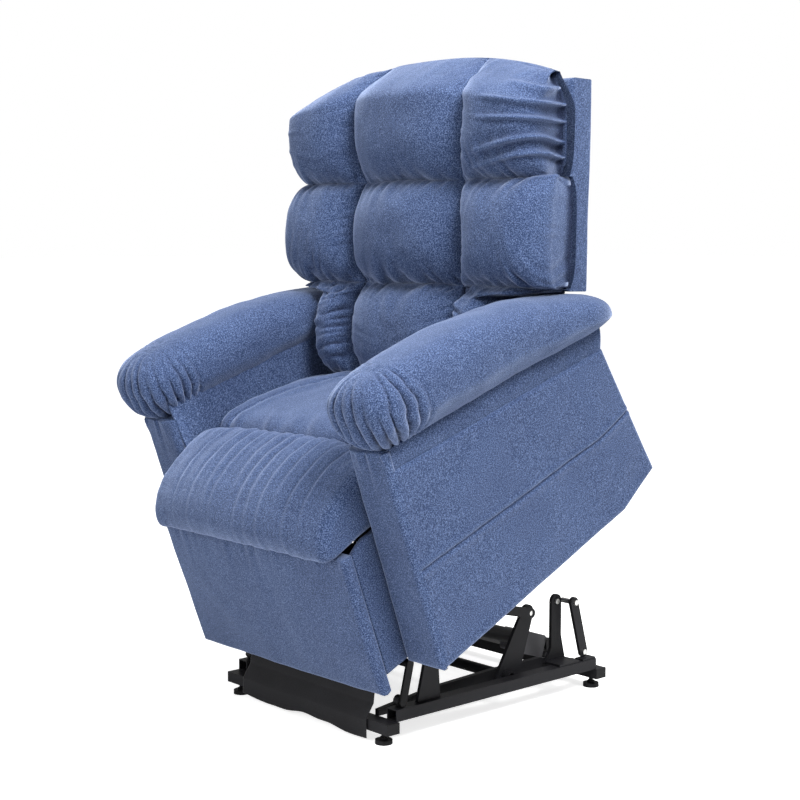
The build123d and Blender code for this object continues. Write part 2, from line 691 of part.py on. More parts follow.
CROSS_BAR = (30, 50)
with BuildPart() as legrest_slides:
    for x in mirrored(SLIDE_X, 10):
        block(chair_side(x), (LEGREST_HINGE[0], 214), (300, 232), 10)
        rod(chair_side(x), LEGREST_HINGE, 10, 10)
        rod(chair_side(x), LEGREST_HINGE, PIN_RADIUS + PIN_FIT, 10, Mode.SUBTRACT)
    block(chair_side(-SLIDE_X), (CROSS_BAR[0], 214), (CROSS_BAR[1], 232), 2 * SLIDE_X)
finish(legrest_slides, "legrest_slides")

LEGREST_MOTOR_PLANE = Plane(
    origin=chair_side(0).from_local_coords((360, 223, 0)),
    z_dir=-chair_side(0).x_dir,
)
with BuildPart() as legrest_motor:
    rounded_block(chair_side(-30), (360, 200), (452, 250), 8, 60)
    with BuildSketch(LEGREST_MOTOR_PLANE):
        Circle(14)
        Circle(ROD_RADIUS - 2 + PIN_FIT, mode=Mode.SUBTRACT)
    extrude(amount=200)
finish(legrest_motor, "legrest_motor")

with BuildPart() as legrest_rod:
    with BuildSketch(LEGREST_MOTOR_PLANE.offset(40)):
        Circle(ROD_RADIUS - 2)
    extrude(amount=360 - CROSS_BAR[1] - 40)
finish(legrest_rod, "legrest_rod")

LUG_X = 203
with BuildPart() as legrest_hinges:
    rod(chair_side(-LUG_X - 6), LEGREST_HINGE, PIN_RADIUS, 2 * LUG_X + 12)
    for x in mirrored(LUG_X, 6):
        plate(
            chair_side(x),
            [(-42, 150), (-30, 150), (-34, 222), (-50, 222), (-49, 207), (-38, 206)],
            6,
        )
        rod(chair_side(x), LEGREST_HINGE, 10, 6)
finish(legrest_hinges, "legrest_hinges")

LEGREST_OUTLINE = [(-94, -26), (-80, -25.7), (-50, 274), (-64, 279)]
BOARD_OUTLINE = [(-79.5, -22), (-66, -22), (-43, 204), (-56.5, 204)]
with BuildPart() as legrest_board:
    plate(chair_side(-LEGREST_HALF + 12), BOARD_OUTLINE, 2 * LEGREST_HALF - 24)
finish(legrest_board, "legrest_board")

with BuildPart() as legrest_pad:
    plate(chair_side(-LEGREST_HALF), LEGREST_OUTLINE, 2 * LEGREST_HALF)
finish(legrest_pad, "legrest_pad")

# ---- Handset, in its pocket on the right arm ----
POCKET_OUTER = -434
POCKET_LOW = (150, 268)
POCKET_HIGH = (214, 350)
POCKET_WALL = 3
with BuildPart() as handset_pocket:
    block(chair_side(POCKET_OUTER), POCKET_LOW, POCKET_HIGH, -SIDE_OUTER - POCKET_OUTER)
    block(
        chair_side(POCKET_OUTER + POCKET_WALL),
        (POCKET_LOW[0] + POCKET_WALL, POCKET_LOW[1] + POCKET_WALL),
        (POCKET_HIGH[0] - POCKET_WALL, POCKET_HIGH[1]),
        -SIDE_OUTER - POCKET_OUTER - POCKET_WALL,
        Mode.SUBTRACT,
    )
finish(handset_pocket, "handset_pocket")

HANDSET_OUTER = -429
HANDSET_DEPTH = 17
KEY_CENTRES = {"up": (182, 384), "down": (182, 364)}
KEY_SIZE = (30, 15)
KEY_GAP = 0.4
KEY_RECESS = 4.4
with BuildPart() as handset_shell:
    rounded_block(chair_side(HANDSET_OUTER), (158, 272), (206, 400), 8, HANDSET_DEPTH)
    for centre in KEY_CENTRES.values():
        block(
            chair_side(HANDSET_OUTER),
            (centre[0] - KEY_SIZE[0] / 2 - KEY_GAP, centre[1] - KEY_SIZE[1] / 2 - KEY_GAP),
            (centre[0] + KEY_SIZE[0] / 2 + KEY_GAP, centre[1] + KEY_SIZE[1] / 2 + KEY_GAP),
            KEY_RECESS,
            Mode.SUBTRACT,
        )
finish(handset_shell, "handset_shell")

for key_name, centre in KEY_CENTRES.items():
    with BuildPart() as key:
        rounded_block(
            chair_side(HANDSET_OUTER - 2),
            (centre[0] - KEY_SIZE[0] / 2, centre[1] - KEY_SIZE[1] / 2),
            (centre[0] + KEY_SIZE[0] / 2, centre[1] + KEY_SIZE[1] / 2),
            3,
            5,
        )
    finish(key, "handset_key_" + key_name)
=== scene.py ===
import json
import math

import bpy
import numpy as np
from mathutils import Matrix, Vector


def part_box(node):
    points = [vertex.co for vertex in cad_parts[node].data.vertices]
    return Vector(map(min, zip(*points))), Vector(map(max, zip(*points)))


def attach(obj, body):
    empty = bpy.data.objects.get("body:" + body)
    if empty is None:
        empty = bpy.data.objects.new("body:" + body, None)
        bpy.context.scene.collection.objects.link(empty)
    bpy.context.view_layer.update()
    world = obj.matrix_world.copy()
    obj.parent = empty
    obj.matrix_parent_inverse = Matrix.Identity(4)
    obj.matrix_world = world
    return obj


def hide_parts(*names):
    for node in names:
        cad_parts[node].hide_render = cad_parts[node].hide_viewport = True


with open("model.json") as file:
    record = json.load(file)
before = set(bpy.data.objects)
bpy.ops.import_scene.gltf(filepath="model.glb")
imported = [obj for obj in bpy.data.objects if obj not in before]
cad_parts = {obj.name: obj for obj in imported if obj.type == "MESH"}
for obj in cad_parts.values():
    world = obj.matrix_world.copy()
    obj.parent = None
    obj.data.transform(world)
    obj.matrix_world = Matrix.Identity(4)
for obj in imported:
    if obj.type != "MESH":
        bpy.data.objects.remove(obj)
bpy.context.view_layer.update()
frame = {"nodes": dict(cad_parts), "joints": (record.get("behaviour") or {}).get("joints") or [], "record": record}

# ---- Places, from the frame ----
JOINTS = {joint["name"]: joint for joint in frame["joints"]}
TILT = math.radians(25.7)        # the raised chair leans this far forward
BACK_LEAN = math.radians(-1.1)   # the raised back's lean from upright
HINGE = np.array([0.590, 0.185])  # recline hinge in the chair's own side view
HINGE_WORLD = np.array(JOINTS["recline"]["pos_m"])[1:]


def turn(angle):
    """A rotation of (y, z) pairs."""
    return np.array([[math.cos(angle), -math.sin(angle)], [math.sin(angle), math.cos(angle)]])


CHAIR_WORLD = HINGE_WORLD - turn(TILT) @ HINGE
FLOOR_FEET_Y = (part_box("base_front_tube")[0][1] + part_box("base_rear_tube")[1][1]) / 2


def chair_place(points):
    """Points (x, y, z) of the seated chair's own view, in the row frame."""
    points = np.asarray(points, float)
    side = points[..., 1:] @ turn(TILT).T + CHAIR_WORLD
    return np.concatenate([points[..., :1], side], axis=-1)


def back_place(points):
    """Points (x, rearward, up) of the back's own view, from the recline hinge, in the row frame."""
    points = np.asarray(points, float)
    side = points[..., 1:] @ turn(BACK_LEAN).T + HINGE_WORLD
    return np.concatenate([points[..., :1], side], axis=-1)


# ---- Smooth noise, the same each run ----
def lattice(cells, seed):
    """A fixed value from -1 to 1 for each whole-number cell."""
    mixed = (cells[..., 0] * 73856093) ^ (cells[..., 1] * 19349663)
    mixed = mixed ^ (cells[..., 2] * 83492791) ^ (seed * 2654435761)
    mixed = (mixed ^ (mixed >> 13)) * 1274126177
    return ((mixed ^ (mixed >> 16)) & 0xFFFFFF) / 8388607.5 - 1.0


def noise(points, scale, seed=0):
    """Smooth noise from -1 to 1 whose lumps are about scale metres across."""
    spread = np.asarray(points, float) / scale + 100.0
    cells = np.floor(spread).astype(np.int64)
    share = spread - cells
    share = share * share * (3 - 2 * share)
    total = 0
    for corner in range(8):
        step = np.array([corner & 1, (corner >> 1) & 1, (corner >> 2) & 1])
        weight = np.prod(np.where(step, share, 1 - share), axis=-1)
        total = total + weight * lattice(cells + step, seed)
    return total


def smooth(value, low, high):
    """0 below low, 1 above high, smooth between."""
    share = np.clip((value - low) / (high - low), 0, 1)
    return share * share * (3 - 2 * share)


def hump(distance, width):
    """1 at no distance, falling away over width."""
    return np.exp(-(distance / width) ** 2)


# ---- Mesh building ----
def new_object(name, points, faces, material, shade=True):
    """A mesh object from points in the row frame."""
    mesh = bpy.data.meshes.new(name)
    mesh.from_pydata(np.asarray(points).tolist(), [], faces)
    mesh.validate()
    mesh.update()
    piece = bpy.data.objects.new(name, mesh)
    bpy.context.scene.collection.objects.link(piece)
    mesh.materials.append(material)
    if shade:
        for polygon in mesh.polygons:
            polygon.use_smooth = True
    return piece


def grid_faces(rows, columns, offset=0, wrap=False, flip=False):
    """Quads over a grid of rows by columns points."""
    faces = []
    last = columns if wrap else columns - 1
    for row in range(rows - 1):
        for column in range(last):
            after = (column + 1) % columns
            quad = (
                offset + row * columns + column,
                offset + row * columns + after,
                offset + (row + 1) * columns + after,
                offset + (row + 1) * columns + column,
            )
            faces.append(quad[::-1] if flip else quad)
    return faces


def two_faced(front, back):
    """Points and quads of a closed pad whose two grids share their border."""
    rows, columns = front.shape[:2]
    points = list(front.reshape(-1, 3))
    index = np.arange(rows * columns).reshape(rows, columns)
    back_index = index.copy()
    for row in range(1, rows - 1):
        for column in range(1, columns - 1):
            back_index[row, column] = len(points)
            points.append(back[row, column])
    faces = []
    for row in range(rows - 1):
        for column in range(columns - 1):
            corners = ((row, column), (row, column + 1), (row + 1, column + 1), (row + 1, column))
            faces.append(tuple(index[c] for c in corners))
            faces.append(tuple(back_index[c] for c in corners[::-1]))
    return np.array(points), faces


def ring_tube(rings):
    """Points and faces of a closed tube through rings, with its ends closed."""
    rows, columns = rings.shape[:2]
    points = rings.reshape(-1, 3)
    faces = grid_faces(rows, columns, wrap=True)
    faces.append(tuple(range(columns))[::-1])
    faces.append(tuple(range((rows - 1) * columns, rows * columns)))
    return points, faces


def join_parts(parts):
    """Several (points, faces) as one."""
    points = []
    faces = []
    for part_points, part_faces in parts:
        offset = sum(len(p) for p in points)
        points.append(np.asarray(part_points))
        faces.extend(tuple(i + offset for i in face) for face in part_faces)
    return np.concatenate(points), faces


# ---- Materials ----
def new_material(name, roughness, metallic=0.0):
    """A material with a Principled shader, and its nodes, links and shader."""
    material = bpy.data.materials.new(name)
    material.use_nodes = True
    nodes = material.node_tree.nodes
    links = material.node_tree.links
    shader = nodes["Principled BSDF"]
    shader.inputs["Roughness"].default_value = roughness
    shader.inputs["Metallic"].default_value = metallic
    shader.inputs["Specular IOR Level"].default_value = 0.3
    return material, nodes, links, shader


def noise_node(nodes, links, coordinates, scale, detail=2.0, roughness=0.5):
    """A noise texture on the given coordinates."""
    texture = nodes.new("ShaderNodeTexNoise")
    texture.inputs["Scale"].default_value = scale
    texture.inputs["Detail"].default_value = detail
    texture.inputs["Roughness"].default_value = roughness
    links.new(coordinates, texture.inputs["Vector"])
    return texture


def ramp_node(nodes, links, source, stops):
    """A colour ramp with the given (place, colour) stops."""
    ramp = nodes.new("ShaderNodeValToRGB")
    elements = ramp.color_ramp.elements
    while len(elements) < len(stops):
        elements.new(0.5)
    for element, (place, colour) in zip(elements, stops):
        element.position = place
        element.color = (*colour, 1.0)
    links.new(source, ramp.inputs["Fac"])
    return ramp


def mix_node(nodes, links, factor, first, second, blend="MIX"):
    """A colour mix; factor, first and second are sockets or values."""
    mix = nodes.new("ShaderNodeMix")
    mix.data_type = "RGBA"
    mix.blend_type = blend
    for socket, value in ((mix.inputs[0], factor), (mix.inputs[6], first), (mix.inputs[7], second)):
        if hasattr(value, "links"):
            links.new(value, socket)
        elif isinstance(value, tuple):
            socket.default_value = (*value, 1.0)
        else:
            socket.default_value = value
    return mix.outputs[2]


def bump_node(nodes, links, height, strength, distance, normal=None):
    """A bump from a height socket."""
    bump = nodes.new("ShaderNodeBump")
    bump.inputs["Strength"].default_value = strength
    bump.inputs["Distance"].default_value = distance
    links.new(height, bump.inputs["Height"])
    if normal is not None:
        links.new(normal, bump.inputs["Normal"])
    return bump.outputs["Normal"]


CHENILLE_DARK = (0.009, 0.018, 0.048)
CHENILLE_MID = (0.026, 0.045, 0.105)
CHENILLE_LIGHT = (0.095, 0.132, 0.235)


def chenille(name):
    """Heathered blue chenille: mixed dark and light yarns, a soft nap, a fuzzy sheen, and painted shade in its
    creases with a painted highlight on its ridges.
    """
    material, nodes, links, shader = new_material(name, 0.92)
    coordinates = nodes.new("ShaderNodeTexCoord").outputs["Object"]
    yarn = noise_node(nodes, links, coordinates, 420.0, 3.0, 0.7)
    fleck = noise_node(nodes, links, coordinates, 950.0, 2.0, 0.6)
    patch = noise_node(nodes, links, coordinates, 9.0, 3.0, 0.55)
    heather = ramp_node(
        nodes, links, yarn.outputs["Fac"],
        [(0.36, CHENILLE_DARK), (0.50, CHENILLE_MID), (0.64, CHENILLE_LIGHT)],
    )
    flecks = ramp_node(
        nodes, links, fleck.outputs["Fac"],
        [(0.35, (0.60, 0.62, 0.68)), (0.65, (1.35, 1.32, 1.28))],
    )
    speckled = mix_node(nodes, links, 1.0, heather.outputs["Color"], flecks.outputs["Color"], "MULTIPLY")
    nap = ramp_node(
        nodes, links, patch.outputs["Fac"],
        [(0.35, (0.94, 0.94, 0.95)), (0.65, (1.07, 1.07, 1.06))],
    )
    colour = mix_node(nodes, links, 1.0, speckled, nap.outputs["Color"], "MULTIPLY")
    # Painted shade and painted highlight: the colour is darkened in concave creases and lightened on ridges, read
    # from the mesh's pointiness.
    geometry = nodes.new("ShaderNodeNewGeometry")
    painted_shade_and_highlight = ramp_node(
        nodes, links, geometry.outputs["Pointiness"],
        [(0.44, (0.30, 0.30, 0.34)), (0.495, (1.0, 1.0, 1.0)), (0.56, (1.30, 1.27, 1.22))],
    )
    colour = mix_node(nodes, links, 1.0, colour, painted_shade_and_highlight.outputs["Color"], "MULTIPLY")
    links.new(colour, shader.inputs["Base Color"])
    normal = bump_node(nodes, links, yarn.outputs["Fac"], 0.55, 0.0012)
    normal = bump_node(nodes, links, fleck.outputs["Fac"], 0.35, 0.0005, normal)
    links.new(normal, shader.inputs["Normal"])
    shader.inputs["Sheen Weight"].default_value = 0.55
    shader.inputs["Sheen Roughness"].default_value = 0.42
    shader.inputs["Sheen Tint"].default_value = (0.55, 0.66, 0.95, 1.0)
    shader.inputs["Specular IOR Level"].default_value = 0.15
    return material


def coated(name, colour, roughness, texture=900.0, worn=(0.10, 0.10, 0.11), metallic=0.0, gloss=0.3):
    """A painted, plated or moulded finish: fine texture, slight patchiness and lighter worn edges."""
    material, nodes, links, shader = new_material(name, roughness, metallic)
    shader.inputs["Specular IOR Level"].default_value = gloss
    coordinates = nodes.new("ShaderNodeTexCoord").outputs["Object"]
    grain = noise_node(nodes, links, coordinates, texture, 2.0)
    patch = noise_node(nodes, links, coordinates, 14.0, 4.0)
    darker = tuple(c * 0.8 for c in colour)
    lighter = tuple(min(1.0, c * 1.3 + 0.004) for c in colour)
    tone = ramp_node(nodes, links, patch.outputs["Fac"], [(0.3, darker), (0.7, lighter)])
    geometry = nodes.new("ShaderNodeNewGeometry")
    edge = ramp_node(nodes, links, geometry.outputs["Pointiness"], [(0.53, (0, 0, 0)), (0.62, (1, 1, 1))])
    mixed = mix_node(nodes, links, edge.outputs["Color"], tone.outputs["Color"], worn)
    links.new(mixed, shader.inputs["Base Color"])
    links.new(bump_node(nodes, links, grain.outputs["Fac"], 0.25, 0.0004), shader.inputs["Normal"])
    return material


def plywood(name):
    """Plain plywood with a long grain."""
    material, nodes, links, shader = new_material(name, 0.7)
    coordinates = nodes.new("ShaderNodeTexCoord").outputs["Object"]
    stretch = nodes.new("ShaderNodeMapping")
    stretch.inputs["Scale"].default_value = (60.0, 6.0, 6.0)
    links.new(coordinates, stretch.inputs["Vector"])
    grain = noise_node(nodes, links, stretch.outputs["Vector"], 3.0, 6.0, 0.65)
    tone = ramp_node(
        nodes, links, grain.outputs["Fac"],
        [(0.3, (0.36, 0.24, 0.13)), (0.7, (0.60, 0.45, 0.28))],
    )
    links.new(tone.outputs["Color"], shader.inputs["Base Color"])
    links.new(bump_node(nodes, links, grain.outputs["Fac"], 0.3, 0.0005), shader.inputs["Normal"])
    return material


def black_cloth(name):
    """Black nonwoven dust-cover cloth with a faint fibre pattern."""
    material, nodes, links, shader = new_material(name, 0.85)
    coordinates = nodes.new("ShaderNodeTexCoord").outputs["Object"]
    fibre = noise_node(nodes, links, coordinates, 600.0, 4.0, 0.7)
    patch = noise_node(nodes, links, coordinates, 12.0, 3.0)
    tone = ramp_node(
        nodes, links, fibre.outputs["Fac"],
        [(0.35, (0.003, 0.003, 0.004)), (0.7, (0.012, 0.012, 0.015))],
    )
    fade = ramp_node(
        nodes, links, patch.outputs["Fac"],
        [(0.3, (0.85, 0.85, 0.85)), (0.7, (1.15, 1.15, 1.15))],
    )
    colour = mix_node(nodes, links, 1.0, tone.outputs["Color"], fade.outputs["Color"], "MULTIPLY")
    links.new(colour, shader.inputs["Base Color"])
    links.new(bump_node(nodes, links, fibre.outputs["Fac"], 0.4, 0.0004), shader.inputs["Normal"])
    shader.inputs["Sheen Weight"].default_value = 0.1
    return material


FABRIC = chenille("chenille")
FINISHES = {
    "upholstery": FABRIC,
    "plywood": plywood("plywood"),
    "black_cloth": black_cloth("black_cloth"),
    "actuator_housing": coated("actuator_housing", (0.022, 0.022, 0.024), 0.5, 1500.0),
    "handset_plastic": coated("handset_plastic", (0.03, 0.03, 0.033), 0.4, 1800.0),
    "key_rubber": coated("key_rubber", (0.22, 0.23, 0.25), 0.7, 1800.0),
    "black_plastic": coated(
        "black_plastic", (0.004, 0.004, 0.005), 0.5, 1500.0, (0.012, 0.012, 0.013), gloss=0.10
    ),
    "zinc_steel": coated("zinc_steel", (0.55, 0.55, 0.53), 0.32, 1200.0, (0.75, 0.75, 0.73), 1.0),
    "spring_steel": coated("spring_steel", (0.22, 0.22, 0.23), 0.4, 1200.0, (0.5, 0.5, 0.5), 1.0),
    "actuator_tube": coated(
        "actuator_tube", (0.006, 0.006, 0.007), 0.42, 900.0, (0.02, 0.02, 0.022), gloss=0.12
    ),
    "black_steel": coated(
        "black_steel", (0.0025, 0.0025, 0.003), 0.42, 1100.0, (0.012, 0.012, 0.014), gloss=0.12
    ),
}
for subpart in frame["record"]["subparts"]:
    piece = frame["nodes"][subpart["node"]]
    piece.data.materials.clear()
    piece.data.materials.append(FINISHES[subpart["material_slot"]])
    if subpart["node"] in ("base_bolts", "levelling_feet", "lift_actuator_tube"):
        for polygon in piece.data.polygons:
            polygon.use_smooth = False


def soft(piece, body, *nodes, fill=0.6):
    """A padded piece on a body, standing for its CAD solids."""
    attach(piece, body)
    if nodes:
        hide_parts(*nodes)


# ---- Back pillows ----
PILLOW_REAR = -0.088     # where the pillows rest on the back's frame
SEAM_DEPTH = -0.168      # how deep the sewn seams between pillows lie
PILLOW_RELIEF = 0.086    # how far a pillow stands proud of its seams
SEAM_X = 0.156           # the column seams, either side of the middle
SEAM_BOW = 0.026         # how far they bow outwards at a pillow's middle
CROWN_POWER = 2.5        # how boxy a pillow's crown is
SIDE_POWER = 0.60
PILLOW_ROWS = {
    "upper": {"low": 0.538, "high": 0.812, "outer": 0.410, "pull": 0.016, "taper": 0.044},
    "middle": {"low": 0.314, "high": 0.546, "outer": 0.417, "pull": 0.014, "taper": 0.026},
    "lower": {"low": 0.104, "high": 0.322, "outer": 0.280, "pull": 0.006, "taper": 0.0},
}
TUCKS = [  # the sewn tucks of the top corner pillows: (x, up) at the side seam and at the inner end
    ((0.392, 0.718), (0.300, 0.742)),
    ((0.394, 0.690), (0.268, 0.708)),
    ((0.394, 0.658), (0.262, 0.664)),
    ((0.394, 0.622), (0.240, 0.592)),
    ((0.390, 0.590), (0.215, 0.560)),
]


def segment_distance(points, start, end):
    """Signed distance from a segment of the plane, and how far along it, from 0 to 1."""
    start = np.array(start)
    run = np.array(end) - start
    length = np.linalg.norm(run)
    offset = points - start
    share = (offset @ run) / length ** 2
    away = (offset[..., 0] * run[1] - offset[..., 1] * run[0]) / length
    past = np.maximum(np.abs(share - 0.5) - 0.5, 0) * length
    return np.sign(away) * np.hypot(away, past), np.clip(share, 0, 1)


def pillow_row(name, row, seed):
    """One row of the back: three pillows sewn side by side, with boxed outer sides."""
    rows, inner, outer_part = 110, 60, 56
    t = np.sin(np.linspace(-math.pi / 2, math.pi / 2, rows))[:, None]
    base = SEAM_DEPTH + 0 * t
    if name == "upper":
        base = base + 0.062 * smooth(t, 0.35, 1.0)
    pillar = np.clip(1 - np.abs(t) ** 2.8, 0, 1) ** (1 / 2.0)
    seam = SEAM_X + SEAM_BOW * (1 - t ** 2)
    half_up = (row["high"] - row["low"]) / 2
    up_line = (row["high"] + row["low"]) / 2 + half_up * t
    width = row["outer"] - row["pull"] * np.abs(t) ** 5
    if name == "upper":
        width = width - 0.030 * smooth(t, 0.25, 1.0) ** 2
    if name == "lower":
        width = width + 0.100 * smooth(up_line, 0.292, 0.306)
        seam = seam + 0.004 * t
    s = np.sin(np.linspace(-math.pi / 2, math.pi / 2, inner))[None, :]
    centre_x = s * seam
    centre_u = base - PILLOW_RELIEF * pillar * np.clip(1 - np.abs(s) ** CROWN_POWER, 0, 1) ** (1 / 2.0)
    s_in = -np.cos(np.linspace(0, math.pi / 2, outer_part // 2))[None, :]
    middle = (seam + width) / 2 - 0.012
    side_in = middle + s_in * (middle - seam)
    peak = base - PILLOW_RELIEF * pillar
    side_in_u = base - PILLOW_RELIEF * pillar * np.clip(1 - np.abs(s_in) ** CROWN_POWER, 0, 1) ** (1 / 2.0)
    phi = np.linspace(0, math.pi / 2, outer_part)[None, 1:]
    side_out = middle + (width - middle) * np.sin(phi) ** SIDE_POWER - row["taper"] * (phi / phi.max()) ** 5
    side_out_u = PILLOW_REAR + (peak - PILLOW_REAR) * np.cos(phi) ** SIDE_POWER
    right_x = np.concatenate([side_in, side_out], axis=1)
    right_u = np.concatenate([side_in_u, side_out_u], axis=1)
    x = np.concatenate([-right_x[:, ::-1], centre_x[:, 1:-1], right_x], axis=1)
    u = np.concatenate([right_u[:, ::-1], centre_u[:, 1:-1], right_u], axis=1)
    up = up_line + 0 * x
    if name == "upper":
        up = up - 0.058 * (np.abs(x) / 0.375) ** 2.4 * smooth(t, -0.6, 1.0)
    return shape_row(name, row, x, u, up, t + 0 * x, seed)


def shape_row(name, row, x, u, up, t, seed):
    """Folds, tucks and seams on a row's surface, and the closed mesh."""
    points = np.stack([x, u, up], axis=-1)
    across = np.gradient(points, axis=1)
    along = np.gradient(points, axis=0)
    normal = np.cross(along, across)
    normal = normal / np.maximum(np.linalg.norm(normal, axis=-1, keepdims=True), 1e-9)
    flat = np.stack([x, up, 0 * x], axis=-1)
    from_low = up - up[0]
    from_high = up[-1] - up
    seam = SEAM_X + SEAM_BOW * (1 - t ** 2)
    from_column = np.abs(np.abs(x) - seam)
    on_side = smooth(np.abs(x), row["outer"] - 0.035, row["outer"] - 0.005)
    lift = 0.0030 * noise(flat, 0.10, seed) + 0.0012 * noise(flat, 0.04, seed + 1)
    strengths = {"upper": (0.0065, 0.0022), "middle": (0.0105, 0.0085), "lower": (0.0060, 0.0115)}[name]
    for index, (distance, strength) in enumerate(zip((from_low, from_high), strengths)):
        slant = np.stack([x + 0.25 * distance * np.sign(x + 0.001), distance * 0.16, 0 * x + index], axis=-1)
        ridge = 1 - 2 * np.abs(noise(slant, 0.021, seed + 3 + index))
        fine = noise(slant, 0.0085, seed + 5 + index)
        reach = 0.038 * (1 + 0.6 * noise(flat, 0.06, seed + 7 + index))
        grow = smooth(distance, -0.001, 0.010)
        lift = lift + strength * (0.75 * ridge + 0.45 * fine) * np.exp(-distance / reach) * grow
    side_strength = {"upper": 0.0036, "middle": 0.0030, "lower": 0.0095}[name]
    sideways = np.stack([from_column * 0.16 + 0.3 * np.sign(x), up + 0.3 * from_column, 0 * x], axis=-1)
    ridge = 1 - 2 * np.abs(noise(sideways, 0.019, seed + 11))
    fine = noise(sideways, 0.008, seed + 12)
    outer_only = np.where(np.abs(x) > seam, 1.0, 0.35)
    reach = 0.030 if name != "lower" else 0.075
    grow = smooth(from_column, -0.001, 0.010)
    gather = (0.7 * ridge + 0.45 * fine) * np.exp(-from_column / reach)
    lift = lift + side_strength * outer_only * gather * grow
    if name == "upper":
        plane = np.stack([np.abs(x), up], axis=-1)
        for start, end in TUCKS:
            distance, share = segment_distance(plane, start, end)
            depth = (1 - share) ** 0.7 * np.where(x > 0, 1.0, 0.12)
            lift = lift - 0.0115 * depth * hump(distance, 0.0048)
            lift = lift + 0.0085 * depth * hump(np.abs(distance - 0.013), 0.012)
            lift = lift + 0.0030 * depth * hump(np.abs(distance + 0.011), 0.008)
    side_seam = np.abs(np.abs(x) - (row["outer"] - 0.012 - row["pull"] * np.abs(t) ** 5))
    if name != "lower":
        lift = lift - 0.0022 * hump(side_seam, 0.0016) * (u > -0.236) * (u < -0.13)
    pucker = noise(np.stack([u * 0.2, up, 0 * x], axis=-1), 0.011, seed + 15)
    lift = lift + 0.0012 * pucker * on_side
    edge_t = smooth(1 - np.abs(t), 0.0, 0.004)
    front = points + normal * (lift * edge_t)[..., None]
    front[:, :, 1] = np.minimum(front[:, :, 1], PILLOW_REAR)
    rear = points.copy()
    rear[..., 1] = PILLOW_REAR
    return two_faced(back_place(front), back_place(rear))


for index, (row_name, row) in enumerate(PILLOW_ROWS.items()):
    points, faces = pillow_row(row_name, row, 100 * index + 60)
    piece = new_object("pillows_" + row_name, points, faces, FABRIC)
    soft(piece, "back", "back_pillows_" + row_name, fill=0.7)


# ---- Upholstered panels ----
def panel_grid(low_line, high_line, rows, columns):
    """Points between two lines of (y, z) points, each given as an array of its own."""
    share = np.linspace(0, 1, columns)

    def sample(line):
        line = np.asarray(line, float)
        steps = np.concatenate([[0], np.cumsum(np.linalg.norm(np.diff(line, axis=0), axis=1))])
        return np.stack([np.interp(share * steps[-1], steps, line[:, i]) for i in range(2)], axis=-1)

    low = sample(low_line)
    high = sample(high_line)
    rise = np.linspace(0, 1, rows)[:, None, None]
    return low[None] * (1 - rise) + high[None] * rise


def sided(side, front, back):
    """A closed panel on the chair, its grid reversed on the right so that it faces outwards."""
    if side < 0:
        front = front[:, ::-1]
        back = back[:, ::-1]
    return two_faced(chair_place(front), chair_place(back))


def seam_shape(distance):
    """The dip of a sewn seam and the slight roll of cloth beside it."""
    return -0.0032 * hump(distance, 0.0028) + 0.0016 * hump(np.abs(distance) - 0.009, 0.007)


def edge_roll(distance, radius):
    """How far a padded face falls back within radius of its edge."""
    inside = np.clip(distance / radius, 0, 1)
    return radius * (1 - np.sqrt(np.clip(1 - (1 - inside) ** 2, 0, 1)))


SIDE_HEIGHT = 0.40   # of the side panel, for its edges and seam
SIDE_LENGTH = 0.68
SIDE_OUT = 0.411     # its outer face, from the middle of the chair
SIDE_IN = 0.3965


def side_panel(side):
    """The outer side of an arm: one padded face with a sewn seam along its middle."""
    low_line = [(0.0, 0.0), (0.593, 0.0), (0.716, 0.035)]
    high_line = [(0.047, 0.429), (0.674, 0.356)]
    grid = panel_grid(low_line, high_line, 150, 240)
    rows, columns = grid.shape[:2]
    up = np.linspace(0, 1, rows)[:, None] * np.ones((1, columns))
    across = np.linspace(0, 1, columns)[None, :] * np.ones((rows, 1))
    edge = SIDE_HEIGHT * np.minimum(up, 1 - up)
    edge = np.minimum(edge, SIDE_LENGTH * np.minimum(across, 1 - across))
    middle = (up - 0.502) * SIDE_HEIGHT
    place = np.concatenate([grid, np.full(grid.shape[:2] + (1,), side)], axis=-1)
    out = SIDE_OUT + seam_shape(middle) - edge_roll(edge, 0.011)
    out = out + 0.0022 * noise(place, 0.16, 3) * smooth(edge, 0, 0.05) + 0.0008 * noise(place, 0.05, 4)
    pucker = noise(np.stack([across * SIDE_LENGTH, middle * 0.12, up * 0], axis=-1), 0.013, 5)
    out = out + 0.0007 * pucker * hump(middle, 0.022)
    inner = np.full_like(out, SIDE_IN)
    front = np.concatenate([side * out[..., None], grid], axis=-1)
    back = np.concatenate([side * inner[..., None], grid], axis=-1)
    return sided(side, front, back)


for side, name in ((1, "left"), (-1, "right")):
    points, faces = side_panel(side)
    piece = new_object(name + "_side_upholstery", points, faces, FABRIC)
    soft(piece, "chair", name + "_side_panel", fill=0.9)


ARM_FRONT_INNER = 0.3005
ARM_FRONT_WIDTH = 0.1085
ARM_FRONT_HEIGHT = 0.468
ARM_FRONT_LEAN = 0.051   # how far its top stands behind its foot


